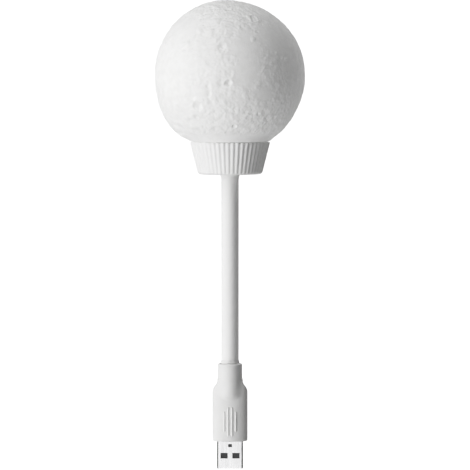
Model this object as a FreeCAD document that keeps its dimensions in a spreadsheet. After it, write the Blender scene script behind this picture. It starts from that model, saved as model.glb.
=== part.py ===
"""Moon lamp on a bendable neck that plugs into a USB-A port.

A hollow moon globe sits in a ribbed collar at the top of a gooseneck, and the gooseneck
stands in the moulded grip of the plug that carries the whole lamp. All lengths are in mm.
The origin is the centre of the grip's flat lower face, where the plug's metal shell comes
out of it. +Z runs up the neck, and -Y is the front, the side that has the grip's ridges.
"""
import FreeCAD, Part
import math
import os
import re

import Sketcher

# Driving dimensions, in mm unless they are counts. Everything else follows from these.
SIZES = {
    # Metal shell of the plug, its insulating tongue and its four contacts
    "plug_width": 12.0,
    "plug_thickness": 4.5,
    "plug_length": 12.5,
    "plug_corner": 0.8,
    "shell_wall": 0.3,
    "shell_inset": 8.0,
    "window_width": 3.25,
    "window_height": 2.5,
    "window_spacing": 5.42,
    "window_drop": 6.55,
    "notch_width": 1.7,
    "notch_height": 1.35,
    "notch_drop": 1.9,
    "tongue_setback": 0.6,
    "contact_width": 1.0,
    "contact_thickness": 0.2,
    "contact_tail": 2.0,
    "power_setback": 1.1,
    "power_spacing": 7.0,
    "data_setback": 2.1,
    "data_spacing": 2.0,
    # Moulded grip, with a round neck on top and an inner mould behind the contacts
    "grip_width": 16.3,
    "grip_thickness": 8.8,
    "grip_height": 22.0,
    "grip_corner": 0.7,
    "grip_top": 35.5,
    "grip_neck_radius": 5.58,
    "grip_neck_rounding": 0.5,
    "shoulder_height": 6.6,
    "runout_start": 22.0,
    "runout_height": 2.7,
    "runout_depth": 1.3,
    "shoulder_overlap": 0.15,
    "side_overlap": 0.1,
    "ridge_count": 4,
    "ridge_pitch": 1.7,
    "ridge_width": 0.8,
    "ridge_rise": 0.3,
    "ridge_field_length": 13.6,
    "ridge_field_centre": 9.3,
    "inner_mould_length": 9.0,
    "mould_gap": 0.05,
    # Leads and the two-core cable inside the neck
    "lead_radius": 0.5,
    "lead_pitch": 1.24,
    "cable_radius": 1.4,
    "wire_gap": 0.2,
    # Bendable neck: white sleeve over a coiled steel core, cut into links at the hinges
    "stem_length": 86.5,
    "stem_radius": 3.9,
    "sleeve_wall": 0.8,
    "core_wall": 1.45,
    "hinge_count": 12,
    "knuckle_radius": 4.6,
    "knuckle_gap": 0.25,
    "foot_stub": 5.2,
    "head_stub": 8.8,
    "ferrule_length": 8.0,
    "sleeve_inset": 5.5,
    "fit_gap": 0.05,
    "bore_gap": 0.1,
    # Collar, with the clamped end of the neck in its floor
    "collar_height": 14.8,
    "collar_top_radius": 18.35,
    "collar_foot_radius": 14.6,
    "collar_rounding": 1.3,
    "collar_wall": 1.55,
    "collar_floor": 2.4,
    "rib_count": 50,
    "rib_depth": 0.25,
    "rib_trim": 0.15,
    "flange_radius": 4.3,
    "flange_height": 0.8,
    "bushing_wall": 0.85,
    "bushing_length": 6.5,
    "core_end_drop": 0.5,
    "cable_end_rise": 1.0,
    "nut_across_flats": 11.0,
    "nut_height": 2.4,
    # Light board on two posts in the collar
    "board_gap": 0.3,
    "board_thickness": 1.6,
    "board_drop": 1.5,
    "post_radius": 2.2,
    "post_spacing": 18.0,
    "screw_radius": 0.95,
    "screw_length": 6.0,
    "screw_head_radius": 1.9,
    "screw_head_height": 1.2,
    "screw_bite": 0.05,
    "led_count": 6,
    "led_circle_radius": 7.0,
    "led_length": 3.5,
    "led_width": 2.8,
    "led_height": 0.8,
    "resistor_length": 3.2,
    "resistor_width": 1.6,
    "resistor_height": 0.6,
    "resistor_spacing": 3.0,
    "head_lead_spacing": 6.0,
    # Moon globe, whose neck goes down inside the collar
    "moon_radius": 34.3,
    "moon_wall": 1.6,
    "lip_height": 1.7,
    "lip_flare": 1.0,
    "lip_setback": 0.1,
    "globe_neck_length": 4.6,
    "globe_neck_gap": 0.1,
    "globe_neck_wall": 1.4,
}

# Levels along Z that several pieces share, as formulas of the sizes above
MOULD_TOP = "(shell_inset + inner_mould_length)"
FERRULE_TOP = "(grip_top - sleeve_inset)"
FERRULE_FOOT = "(grip_top - sleeve_inset - ferrule_length)"
COLLAR_BASE = "(grip_top + stem_length)"
FLANGE_FOOT = "(grip_top + stem_length - flange_height)"
FLOOR_TOP = "(grip_top + stem_length + collar_floor)"
RIM = "(grip_top + stem_length + collar_height)"
BOARD_TOP = f"({RIM} - board_drop)"
BOARD_FOOT = f"({RIM} - board_drop - board_thickness)"
BUSHING_TOP = f"({COLLAR_BASE} + bushing_length)"
CABLE_TOP = f"({BUSHING_TOP} + cable_end_rise)"
LIP_RADIUS = "(collar_top_radius + lip_flare)"
MOON_CENTRE = f"({RIM} + lip_height + sqrt(moon_radius^2 - {LIP_RADIUS}^2))"

# Radii inside the neck
SLEEVE_BORE = "(stem_radius - sleeve_wall)"
CORE_RADIUS = f"({SLEEVE_BORE} - fit_gap)"
CORE_BORE = f"({CORE_RADIUS} - core_wall)"
BUSHING_RADIUS = f"({SLEEVE_BORE} + bushing_wall)"


def collar_bore(height):
    """Radius of the collar's tapered inside at a height above its foot."""
    slope = "(collar_top_radius - collar_foot_radius) / collar_height"
    return f"(collar_foot_radius + {slope} * ({height}) - rib_depth - collar_wall)"


# The globe's neck fits the collar's inside, and the light board fits the globe's neck
GLOBE_NECK_RADIUS = f"({collar_bore('collar_height - globe_neck_length')} - globe_neck_gap)"
MOUTH_RADIUS = f"({GLOBE_NECK_RADIUS} - globe_neck_wall)"
BOARD_RADIUS = f"({MOUTH_RADIUS} - board_gap)"

doc = FreeCAD.newDocument("moon_lamp")
sheet = doc.addObject("Spreadsheet::Sheet", "Sizes")


def fill_sheet():
    """Write each size into the sheet, with its name beside it as an alias."""
    for row, (name, number) in enumerate(SIZES.items(), start=1):
        sheet.set(f"A{row}", name)
        sheet.set(f"B{row}", str(number))
        sheet.setAlias(f"B{row}", name)
    doc.recompute()


def formula(text):
    """Point each size name in a formula at its cell in the sheet."""
    return re.sub(r"[a-z_]+", lambda word: f"Sizes.{word[0]}" if word[0] in SIZES else word[0], text)


def value(text):
    """Work a formula out with the sizes that the sheet holds now."""
    return float(sheet.evalExpression(formula(text)))


def count(name):
    """Read a whole number from the sheet."""
    return int(round(value(name)))


# ---- Sketches -------------------------------------------------------------------------


class Outline:
    """A run of corners, each a pair of formulas, joined by lines or by named arcs.

    arcs maps a segment's number to the formula of its radius and to the side of the
    travel direction on which its centre lies.
    """

    def __init__(self, corners, arcs=None, closed=True):
        self.corners = corners
        self.arcs = arcs or {}
        self.closed = closed

    def draw(self, sketch):
        points = [FreeCAD.Vector(value(x), value(y), 0) for x, y in self.corners]
        segments = len(points) if self.closed else len(points) - 1
        ends = []
        for number in range(segments):
            start, finish = points[number], points[(number + 1) % len(points)]
            if number in self.arcs:
                ends.append(self._draw_arc(sketch, start, finish, *self.arcs[number]))
            else:
                line = sketch.addGeometry(Part.LineSegment(start, finish), False)
                ends.append(((line, 1), (line, 2)))
        for number, (start, finish) in enumerate(ends):
            pin(sketch, start, self.corners[number])
            if number + 1 < segments or self.closed:
                following = ends[(number + 1) % segments][0]
                sketch.addConstraint(Sketcher.Constraint("Coincident", *finish, *following))
            else:
                pin(sketch, finish, self.corners[-1])

    def _draw_arc(self, sketch, start, finish, radius, side):
        """Add a minor arc and return its ends in travel order."""
        chord = finish - start
        turn = 1 if side == "left" else -1
        reach = math.sqrt(max(value(radius) ** 2 - (chord.Length / 2) ** 2, 0.0))
        across = FreeCAD.Vector(-chord.y, chord.x, 0).normalize()
        centre = (start + finish) / 2 + across * reach * turn
        first, last = (start, finish) if side == "left" else (finish, start)
        angles = [math.atan2(point.y - centre.y, point.x - centre.x) for point in (first, last)]
        if angles[1] < angles[0]:
            angles[1] += 2 * math.pi
        circle = Part.Circle(centre, FreeCAD.Vector(0, 0, 1), value(radius))
        arc = sketch.addGeometry(Part.ArcOfCircle(circle, *angles), False)
        bind(sketch, Sketcher.Constraint("Radius", arc, value(radius)), radius)
        return ((arc, 1), (arc, 2)) if side == "left" else ((arc, 2), (arc, 1))


class Ring:
    """A full circle, centred where its two formulas say."""

    def __init__(self, radius, centre=("0", "0")):
        self.radius = radius
        self.centre = centre

    def draw(self, sketch):
        middle = FreeCAD.Vector(value(self.centre[0]), value(self.centre[1]), 0)
        circle = Part.Circle(middle, FreeCAD.Vector(0, 0, 1), value(self.radius))
        number = sketch.addGeometry(circle, False)
        pin(sketch, (number, 3), self.centre)
        bind(sketch, Sketcher.Constraint("Radius", number, value(self.radius)), self.radius)


class Oval:
    """An ellipse round the sketch's origin, with its long axis along the sketch's X."""

    def __init__(self, width, thickness):
        self.width = width
        self.thickness = thickness

    def draw(self, sketch):
        long_end = FreeCAD.Vector(value(self.width) / 2, 0, 0)
        short_end = FreeCAD.Vector(0, value(self.thickness) / 2, 0)
        ellipse = sketch.addGeometry(Part.Ellipse(long_end, short_end, FreeCAD.Vector()), False)
        sketch.exposeInternalGeometry(ellipse)
        long_axis, short_axis = ellipse + 1, ellipse + 2
        pin(sketch, (ellipse, 3), ("0", "0"))
        sketch.addConstraint(Sketcher.Constraint("Horizontal", long_axis))
        for axis, size in ((long_axis, self.width), (short_axis, self.thickness)):
            bind(sketch, Sketcher.Constraint("Distance", axis, value(size)), size)


def bind(sketch, constraint, text):
    """Add a constraint whose number follows a formula."""
    number = sketch.addConstraint(constraint)
    sketch.setExpression(f"Constraints[{number}]", formula(text))


def pin(sketch, end, corner):
    """Fix a point of the sketch at the place that two formulas give."""
    for axis, text in zip("XY", corner):
        if text == "0":
            axis_line = -2 if axis == "X" else -1
            sketch.addConstraint(Sketcher.Constraint("PointOnObject", *end, axis_line))
        else:
            distance = Sketcher.Constraint(f"Distance{axis}", -1, 1, *end, value(text))
            bind(sketch, distance, text)


def rectangle(width, height, centre=("0", "0")):
    """A rectangle outline; each side lies half its size from the centre."""
    x, y = centre
    left, right = f"{x} - ({width}) / 2", f"{x} + ({width}) / 2"
    low, high = f"{y} - ({height}) / 2", f"{y} + ({height}) / 2"
    return Outline([(left, low), (right, low), (right, high), (left, high)])


def s_bend(start, finish):
    """Middle point and radius of two equal arcs that join two upright lines."""
    across = f"({finish[0]} - ({start[0]}))"
    along = f"({finish[1]} - ({start[1]}))"
    middle = (f"({start[0]} + {finish[0]}) / 2", f"({start[1]} + {finish[1]}) / 2")
    return middle, f"({across}^2 + {along}^2) / (4 * abs({across}))"


# ---- Bodies and their features --------------------------------------------------------


def new_body(label):
    """Start a sub-part that may hold several separate solids."""
    body = doc.addObject("PartDesign::Body", label)
    body.Label = label
    body.AllowCompound = True
    return body


def new_sketch(body, plane, shapes, height=None):
    """Draw shapes on one of the body's own planes, raised by a formula where one is given."""
    sketch = body.newObject("Sketcher::SketchObject", f"{body.Name}_sketch")
    origin_plane = next(part for part in body.Origin.OriginFeatures if part.Role == plane)
    sketch.AttachmentSupport = [(origin_plane, "")]
    sketch.MapMode = "FlatFace"
    if height:
        sketch.setExpression("AttachmentOffset.Base.z", formula(height))
    for shape in shapes:
        shape.draw(sketch)
    doc.recompute()
    return sketch


def add_feature(body, kind, sketch, length=None, reverse=False, both_sides=False):
    """Add a pad, pocket or the like that uses a sketch."""
    feature = body.newObject(f"PartDesign::{kind}", f"{body.Name}_{kind.lower()}")
    feature.Profile = sketch
    feature.Reversed = reverse
    if length:
        feature.setExpression("Length", formula(length))
        feature.SideType = "Symmetric" if both_sides else "One side"
    sketch.Visibility = False
    doc.recompute()
    return feature


def pad(body, plane, shapes, length, height=None, both_sides=False, reverse=False):
    sketch = new_sketch(body, plane, shapes, height)
    return add_feature(body, "Pad", sketch, length, reverse, both_sides)


def pocket(body, plane, shapes, length, height=None, both_sides=False, reverse=False):
    """Cut a pocket and make sure that it took something away."""
    before = body.Shape.Volume
    sketch = new_sketch(body, plane, shapes, height)
    feature = add_feature(body, "Pocket", sketch, length, reverse, both_sides)
    require_cut(body, before)
    return feature


def require_cut(body, before):
    if body.Shape.Volume > before - 1e-6:
        raise RuntimeError(f"a cut in {body.Label} removes nothing")


def turn(body, outline, kind="Revolution"):
    """Turn an outline, drawn as radius and height, once round the Z axis."""
    before = body.Shape.Volume if kind == "Groove" else None
    sketch = new_sketch(body, "XZ_Plane", [outline])
    feature = add_feature(body, kind, sketch)
    feature.ReferenceAxis = (sketch, ["V_Axis"])
    feature.Angle = 360
    doc.recompute()
    if before is not None:
        require_cut(body, before)
    return feature


def round_edges(body, radius, chosen):
    """Round the edges for which chosen says yes."""
    base = body.Tip
    names = [f"Edge{number}" for number, edge in enumerate(base.Shape.Edges, 1) if chosen(edge)]
    fillet = body.newObject("PartDesign::Fillet", f"{body.Name}_fillet")
    fillet.Base = (base, names)
    fillet.setExpression("Radius", formula(radius))
    doc.recompute()
    return fillet


def is_upright(edge):
    ends = [vertex.Point for vertex in edge.Vertexes]
    return len(ends) == 2 and math.hypot(ends[0].x - ends[1].x, ends[0].y - ends[1].y) < 1e-6


def tube_along(body, path, radius):
    """Run a round wire along a path in the XZ plane that starts upright."""
    start_x, start_z = path.corners[0]
    spine = new_sketch(body, "XZ_Plane", [path])
    section = new_sketch(body, "XY_Plane", [Ring(radius, (start_x, "0"))], height=start_z)
    pipe = body.newObject("PartDesign::AdditivePipe", f"{body.Name}_pipe")
    pipe.Profile = section
    pipe.Spine = spine
    doc.recompute()
    return pipe


# ---- Plug and grip --------------------------------------------------------------------


def make_plug_shell():
    """Folded steel shell with two latch windows through it and one notch in its front."""
    body = new_body("plug_shell")
    full_length = "plug_length + shell_inset"
    pad(body, "XY_Plane", [rectangle("plug_width", "plug_thickness")], full_length, "-plug_length")
    round_edges(body, "plug_corner", is_upright)
    bore = rectangle("plug_width - 2 * shell_wall", "plug_thickness - 2 * shell_wall")
    pocket(body, "XY_Plane", [bore], full_length, "-plug_length", reverse=True)
    half_bore = value("plug_width / 2 - shell_wall")

    def is_bore_corner(edge):
        return is_upright(edge) and abs(abs(edge.Vertexes[0].X) - half_bore) < 1e-4

    round_edges(body, "plug_corner - shell_wall", is_bore_corner)
    windows = [
        rectangle("window_width", "window_height", (f"{side} * window_spacing / 2", "-window_drop"))
        for side in (-1, 1)
    ]
    pocket(body, "XZ_Plane", windows, "2 * plug_thickness", both_sides=True)
    notch = rectangle("notch_width", "notch_height", ("0", "-notch_drop"))
    pocket(body, "XZ_Plane", [notch], "plug_thickness", reverse=True)
    return body


def make_plug_tongue():
    """Insulating tongue that fills the front half of the shell, before the contacts."""
    body = new_body("plug_tongue")
    width = "plug_width - 2 * shell_wall - 2 * mould_gap"
    depth = "(plug_thickness / 2 - shell_wall - contact_thickness / 2)"
    section = rectangle(width, depth, ("0", f"-contact_thickness / 2 - {depth} / 2"))
    length = "plug_length - tongue_setback + shell_inset"
    pad(body, "XY_Plane", [section], length, "-plug_length + tongue_setback")
    round_edges(body, "plug_corner - shell_wall", is_upright)
    return body


def make_contacts(label, setback, spacing):
    """A pair of flat contacts on the back of the tongue, with tails above the shell."""
    body = new_body(label)
    strips = [
        rectangle("contact_width", "contact_thickness", (f"{side} * {spacing} / 2", "0"))
        for side in (-1, 1)
    ]
    length = f"plug_length - {setback} + shell_inset + contact_tail"
    pad(body, "XY_Plane", strips, length, f"-plug_length + {setback}")
    return body


def make_inner_mould():
    """Stiff block behind the shell, hollowed for the contact tails and the leads."""
    body = new_body("inner_mould")
    block = rectangle("plug_width - 2 * mould_gap", "plug_thickness - 2 * mould_gap")
    pad(body, "XY_Plane", [block], "inner_mould_length", "shell_inset")
    hollow_width = "power_spacing + contact_width + 2 * wire_gap"
    hollow = rectangle(hollow_width, "2 * lead_radius + 2 * wire_gap")
    pocket(body, "XY_Plane", [hollow], "inner_mould_length", "shell_inset", reverse=True)
    return body


def make_plug_lead(label, side):
    """Insulated lead from a power contact's tail to the end of the neck's cable."""
    body = new_body(label)
    tail = (f"{side} * power_spacing / 2", "shell_inset + contact_tail")
    cable_end = (f"{side} * lead_pitch / 2", MOULD_TOP)
    middle, radius = s_bend(tail, cable_end)
    first, second = ("left", "right") if side > 0 else ("right", "left")
    arcs = {0: (radius, first), 1: (radius, second)}
    path = Outline([tail, middle, cable_end], arcs, closed=False)
    tube_along(body, path, "lead_radius")
    return body


def make_plug_overmould():
    """Soft white grip: an oval block with curved shoulders and a round neck on top."""
    body = new_body("plug_overmould")
    # The silhouette is a little wider than the oval, so their faces cross and never only touch
    half = "(grip_width / 2 + side_overlap)"
    shoulder_top = "grip_height + shoulder_height"
    shoulder_end = "(grip_neck_radius - shoulder_overlap)"
    bend, bend_radius = s_bend((half, "grip_height"), (shoulder_end, shoulder_top))
    left_bend = (f"-({bend[0]})", bend[1])
    silhouette = Outline(
        [
            (f"-{half} + grip_corner", "0"),
            (f"{half} - grip_corner", "0"),
            (half, "grip_corner"),
            (half, "grip_height"),
            bend,
            (shoulder_end, shoulder_top),
            (f"-{shoulder_end}", shoulder_top),
            left_bend,
            (f"-{half}", "grip_height"),
            (f"-{half}", "grip_corner"),
        ],
        {
            1: ("grip_corner", "left"),
            3: (bend_radius, "left"),
            4: (bend_radius, "right"),
            6: (bend_radius, "right"),
            7: (bend_radius, "left"),
            9: ("grip_corner", "left"),
        },
    )
    pad(body, "XZ_Plane", [silhouette], "2 * grip_thickness", both_sides=True)
    surround = rectangle("2 * grip_width", "3 * grip_thickness")
    oval = Oval("grip_width", "grip_thickness")
    pocket(body, "XY_Plane", [surround, oval], f"2 * ({shoulder_top})", reverse=True)

    runout_foot = "runout_start - runout_height"
    foot_radius = "(grip_neck_radius - runout_depth)"
    neck = Outline(
        [
            ("0", runout_foot),
            (foot_radius, runout_foot),
            ("grip_neck_radius", "runout_start"),
            ("grip_neck_radius", "grip_top - grip_neck_rounding"),
            ("grip_neck_radius - grip_neck_rounding", "grip_top"),
            ("0", "grip_top"),
        ],
        {
            1: ("(runout_height^2 + runout_depth^2) / (2 * runout_depth)", "left"),
            3: ("grip_neck_rounding", "left"),
        },
    )
    turn(body, neck)
    add_ridges(body)

    seat = rectangle("plug_width", "plug_thickness")
    pocket(body, "XY_Plane", [seat], MOULD_TOP, reverse=True)
    bore = "stem_radius + bore_gap"
    cable_hole = "cable_radius + wire_gap"
    bores = Outline(
        [
            ("0", MOULD_TOP),
            (cable_hole, MOULD_TOP),
            (cable_hole, FERRULE_FOOT),
            (bore, FERRULE_FOOT),
            (bore, "2 * grip_top"),
            ("0", "2 * grip_top"),
        ]
    )
    turn(body, bores, "Groove")
    return body


def add_ridges(body):
    """Raise upright thumb ridges on the front of the grip, the outer ones shorter."""
    ridges = count("ridge_count")
    for number in range(ridges):
        x = f"({number - (ridges - 1) / 2} * ridge_pitch)"
        half_length = f"(ridge_field_length / 2 * sqrt(1 - ({x} / (ridge_count * ridge_pitch / 2))^2))"
        left, right = f"{x} - ridge_width / 2", f"{x} + ridge_width / 2"
        low, high = f"ridge_field_centre - {half_length}", f"ridge_field_centre + {half_length}"
        end = "ridge_width / 2"
        ridge = Outline(
            [
                (left, f"{low} + {end}"),
                (x, low),
                (right, f"{low} + {end}"),
                (right, f"{high} - {end}"),
                (x, high),
                (left, f"{high} - {end}"),
            ],
            {0: (end, "left"), 1: (end, "left"), 3: (end, "left"), 4: (end, "left")},
        )
        front = f"grip_thickness / 2 * sqrt(1 - (2 * {x} / grip_width)^2)"
        pad(body, "XZ_Plane", [ridge], f"{front} + ridge_rise")


def make_plug_ferrule():
    """Steel sleeve crimped on the foot of the neck's core and moulded into the grip."""
    body = new_body("plug_ferrule")
    rings = [Ring("stem_radius"), Ring(SLEEVE_BORE)]
    pad(body, "XY_Plane", rings, "ferrule_length", FERRULE_FOOT)
    return body


# ---- Neck -----------------------------------------------------------------------------


def hinge_height(number):
    """Height of a hinge's pivot; the hinges are evenly spaced from the first to the last."""
    first = "grip_top + foot_stub"
    last = f"{FLANGE_FOOT} - head_stub"
    return f"({first} + {number} * ({last} - ({first})) / (hinge_count - 1))"


def on_ball(pivot, ball, radius):
    """Height at which a ball round a pivot reaches a given radius from the axis."""
    return f"{pivot} + sqrt(({ball})^2 - ({radius})^2)"


def neck_slice(label, inner, outer, foot, head, link):
    """One link's length of a round layer of the neck.

    A link ends in a ball face above and in a hollow ball face below, both round the
    hinges' pivots, so that it slides over its neighbours. foot and head are the flat ends
    of the lowest and highest links.
    """
    cup, dome = "knuckle_radius + knuckle_gap", "knuckle_radius"
    corners, arcs = [], {}
    if link == 0:
        corners += [(inner, foot), (outer, foot)]
    else:
        pivot = hinge_height(link - 1)
        corners += [(inner, on_ball(pivot, cup, inner)), (outer, on_ball(pivot, cup, outer))]
        arcs[0] = (cup, "right")
    if link == count("hinge_count"):
        corners += [(outer, head), (inner, head)]
    else:
        pivot = hinge_height(link)
        corners += [(outer, on_ball(pivot, dome, outer)), (inner, on_ball(pivot, dome, inner))]
        arcs[2] = (dome, "left")
    body = new_body(f"{label}_{link + 1:02d}")
    turn(body, Outline(corners, arcs))
    return body


def make_neck():
    """Sleeve, steel core and cable of every link, from the grip up to the collar."""
    core_top = f"{BUSHING_TOP} - core_end_drop"
    pieces = []
    for link in range(count("hinge_count") + 1):
        pieces += [
            neck_slice("neck_sleeve", SLEEVE_BORE, "stem_radius", FERRULE_TOP, FLANGE_FOOT, link),
            neck_slice("neck_core", CORE_BORE, CORE_RADIUS, FERRULE_FOOT, core_top, link),
            neck_slice("neck_cable", "0", "cable_radius", MOULD_TOP, CABLE_TOP, link),
        ]
    return pieces


# ---- Collar and what it holds ---------------------------------------------------------


def make_head_bushing():
    """Threaded bushing on the neck's upper end, with a flange under the collar's floor."""
    body = new_body("head_bushing")
    section = Outline(
        [
            (SLEEVE_BORE, FLANGE_FOOT),
            ("flange_radius", FLANGE_FOOT),
            ("flange_radius", COLLAR_BASE),
            (BUSHING_RADIUS, COLLAR_BASE),
            (BUSHING_RADIUS, BUSHING_TOP),
            (SLEEVE_BORE, BUSHING_TOP),
        ]
    )
    turn(body, section)
    return body


def make_neck_nut():
    """Hexagon nut that clamps the bushing to the collar's floor."""
    body = new_body("neck_nut")
    half = "nut_across_flats / 2"
    side = "nut_across_flats / sqrt(3)"
    hexagon = Outline(
        [
            (half, f"-{side} / 2"),
            (half, f"{side} / 2"),
            ("0", side),
            (f"-{half}", f"{side} / 2"),
            (f"-{half}", f"-{side} / 2"),
            ("0", f"-{side}"),
        ]
    )
    bore = Ring(f"{BUSHING_RADIUS} + fit_gap")
    pad(body, "XY_Plane", [hexagon, bore], "nut_height", FLOOR_TOP)
    return body


def scalloped_loop(crest_radius, height):
    """Closed loop of outward arcs, one for each rib, that meet in sharp grooves."""
    ribs = count("rib_count")
    groove_radius = crest_radius - value("rib_depth")

    def point(radius, step):
        angle = 2 * math.pi * step / ribs
        return FreeCAD.Vector(radius * math.sin(angle), -radius * math.cos(angle), height)

    arcs = []
    for rib in range(ribs):
        groove, crest, next_groove = (
            point(groove_radius, rib),
            point(crest_radius, rib + 0.5),
            point(groove_radius, rib + 1),
        )
        arcs.append(Part.Arc(groove, crest, next_groove).toShape())
    return Part.Wire(arcs)


def make_rib_cone():
    """Tapered ribbed column, a little longer than the collar that is cut from it."""
    foot, rim = value(COLLAR_BASE), value(RIM)
    foot_radius, rim_radius = value("collar_foot_radius"), value("collar_top_radius")
    slope = (rim_radius - foot_radius) / (rim - foot)
    margin = value("collar_wall")
    lower = scalloped_loop(foot_radius - slope * margin, foot - margin)
    upper = scalloped_loop(rim_radius + slope * margin, rim + margin)
    cone = doc.addObject("Part::Feature", "collar_rib_cone")
    cone.Shape = Part.makeLoft([lower, upper], True, True)
    return cone


def make_ribbed_collar():
    """Tapered cup with upright ribs that run out in its rounded foot, and two posts inside."""
    blank = new_body("collar_blank")
    slope = [
        ("0", COLLAR_BASE),
        ("collar_foot_radius + rib_trim", COLLAR_BASE),
        ("collar_top_radius + rib_trim", RIM),
        ("0", RIM),
    ]
    turn(blank, Outline(slope))
    foot = value(COLLAR_BASE)
    round_edges(blank, "collar_rounding", lambda edge: edge.BoundBox.ZMax < foot + 1e-6)

    ribbed = doc.addObject("Part::Common", "collar_ribbed")
    ribbed.Base, ribbed.Tool = blank, make_rib_cone()

    inside = new_body("collar_inside")
    hollow = Outline(
        [
            ("0", FLOOR_TOP),
            (collar_bore("collar_floor"), FLOOR_TOP),
            (collar_bore("collar_height"), RIM),
            ("0", RIM),
        ]
    )
    turn(inside, hollow)
    neck_hole = [Ring(f"{BUSHING_RADIUS} + fit_gap")]
    pad(inside, "XY_Plane", neck_hole, "2 * collar_floor", f"{COLLAR_BASE} - collar_floor / 2")
    cup = doc.addObject("Part::Cut", "collar_cup")
    cup.Base, cup.Tool = ribbed, inside

    posts = new_body("collar_posts")
    centres = [("0", f"{side} * post_spacing / 2") for side in (-1, 1)]
    post_height = f"{BOARD_FOOT} - {COLLAR_BASE} - collar_floor / 2"
    columns = [Ring("post_radius", centre) for centre in centres]
    pad(posts, "XY_Plane", columns, post_height, f"{COLLAR_BASE} + collar_floor / 2")
    screw_holes = [Ring("screw_radius + screw_bite", centre) for centre in centres]
    pocket(posts, "XY_Plane", screw_holes, "screw_length", BOARD_FOOT)
    collar = doc.addObject("Part::Fuse", "ribbed_collar")
    collar.Base, collar.Tool = cup, posts
    doc.recompute()
    return collar


def make_led_board():
    """Round board with a hole for each of its two screws."""
    body = new_body("led_board")
    holes = [
        Ring("screw_radius + screw_bite", ("0", f"{side} * post_spacing / 2")) for side in (-1, 1)
    ]
    pad(body, "XY_Plane", [Ring(BOARD_RADIUS), *holes], "board_thickness", BOARD_FOOT)
    return body


def make_board_screws():
    """Two pan-head screws, as one group of separate solids."""
    body = new_body("board_screws")
    centres = [("0", f"{side} * post_spacing / 2") for side in (-1, 1)]
    shanks = [Ring("screw_radius", centre) for centre in centres]
    heads = [Ring("screw_head_radius", centre) for centre in centres]
    pad(body, "XY_Plane", shanks, "screw_length", f"{BOARD_TOP} - screw_length")
    pad(body, "XY_Plane", heads, "screw_head_height", BOARD_TOP)
    head_top = value(f"{BOARD_TOP} + screw_head_height")
    round_edges(body, "screw_head_height / 2", lambda edge: edge.BoundBox.ZMin > head_top - 1e-6)
    return body


def make_led_chips():
    """Warm white light chips in a ring on the board."""
    body = new_body("led_chips")
    chip = rectangle("led_width", "led_length", ("led_circle_radius", "0"))
    first = pad(body, "XY_Plane", [chip], "led_height", BOARD_TOP)
    ring = body.newObject("PartDesign::PolarPattern", "led_ring")
    ring.Originals = [first]
    ring.Axis = (first.Profile[0], ["N_Axis"])
    ring.Angle = 360
    ring.setExpression("Occurrences", formula("led_count"))
    body.Tip = ring
    doc.recompute()
    return body


def make_led_resistors():
    """Two resistors that set the current, side by side in the middle of the board."""
    body = new_body("led_resistors")
    blocks = [
        rectangle("resistor_width", "resistor_length", (f"{side} * resistor_spacing / 2", "0"))
        for side in (-1, 1)
    ]
    pad(body, "XY_Plane", blocks, "resistor_height", BOARD_TOP)
    return body


def make_head_lead(label, side):
    """Insulated lead from the upper end of the cable to the underside of the board."""
    body = new_body(label)
    cable_end = (f"{side} * lead_pitch / 2", CABLE_TOP)
    pad_point = (f"{side} * head_lead_spacing / 2", BOARD_FOOT)
    middle, radius = s_bend(cable_end, pad_point)
    first, second = ("right", "left") if side > 0 else ("left", "right")
    arcs = {0: (radius, first), 1: (radius, second)}
    path = Outline([cable_end, middle, pad_point], arcs, closed=False)
    tube_along(body, path, "lead_radius")
    return body


# ---- Moon -----------------------------------------------------------------------------


def make_moon_globe():
    """Hollow globe with a short flared lip on the collar's rim and a neck inside it."""
    body = new_body("moon_globe")
    neck_foot = f"{RIM} - globe_neck_length"
    inner_radius = "(moon_radius - moon_wall)"
    section = Outline(
        [
            (MOUTH_RADIUS, neck_foot),
            (GLOBE_NECK_RADIUS, neck_foot),
            (GLOBE_NECK_RADIUS, RIM),
            ("collar_top_radius - lip_setback", RIM),
            (LIP_RADIUS, f"{RIM} + lip_height"),
            ("0", f"{MOON_CENTRE} + moon_radius"),
            ("0", f"{MOON_CENTRE} + {inner_radius}"),
            (MOUTH_RADIUS, f"{MOON_CENTRE} - sqrt({inner_radius}^2 - {MOUTH_RADIUS}^2)"),
        ],
        {4: ("moon_radius", "left"), 6: (inner_radius, "right")},
    )
    turn(body, section)
    return body


# ---- The whole lamp -------------------------------------------------------------------


def check_document():
    """Stop if any object of the document failed."""
    doc.recompute()
    for part in doc.Objects:
        failed = {"Invalid", "Error"} & set(part.State)
        if failed:
            raise RuntimeError(f"{part.Label} is {', '.join(failed)}")


def write_pieces(pieces):
    """Write each sub-part's solids to a file of its own name."""
    os.makedirs("parts", exist_ok=True)
    for piece in pieces:
        shape = piece.Shape
        if shape.isNull() or not shape.isValid() or not shape.Solids:
            raise RuntimeError(f"{piece.Label} has no valid solid")
        shape.exportStep(f"parts/{piece.Label}.step")
        print(f"{piece.Label}: {len(shape.Solids)} solid(s), {shape.Volume:.1f} mm3")


def main():
    fill_sheet()
    pieces = [
        make_plug_shell(),
        make_plug_tongue(),
        make_contacts("power_contacts", "power_setback", "power_spacing"),
        make_contacts("data_contacts", "data_setback", "data_spacing"),
        make_inner_mould(),
        make_plug_lead("plug_supply_lead", 1),
        make_plug_lead("plug_return_lead", -1),
        make_plug_overmould(),
        make_plug_ferrule(),
        *make_neck(),
        make_head_bushing(),
        make_neck_nut(),
        make_ribbed_collar(),
        make_led_board(),
        make_board_screws(),
        make_led_chips(),
        make_led_resistors(),
        make_head_lead("head_supply_lead", 1),
        make_head_lead("head_return_lead", -1),
        make_moon_globe(),
    ]
    check_document()
    write_pieces(pieces)


main()
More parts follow.
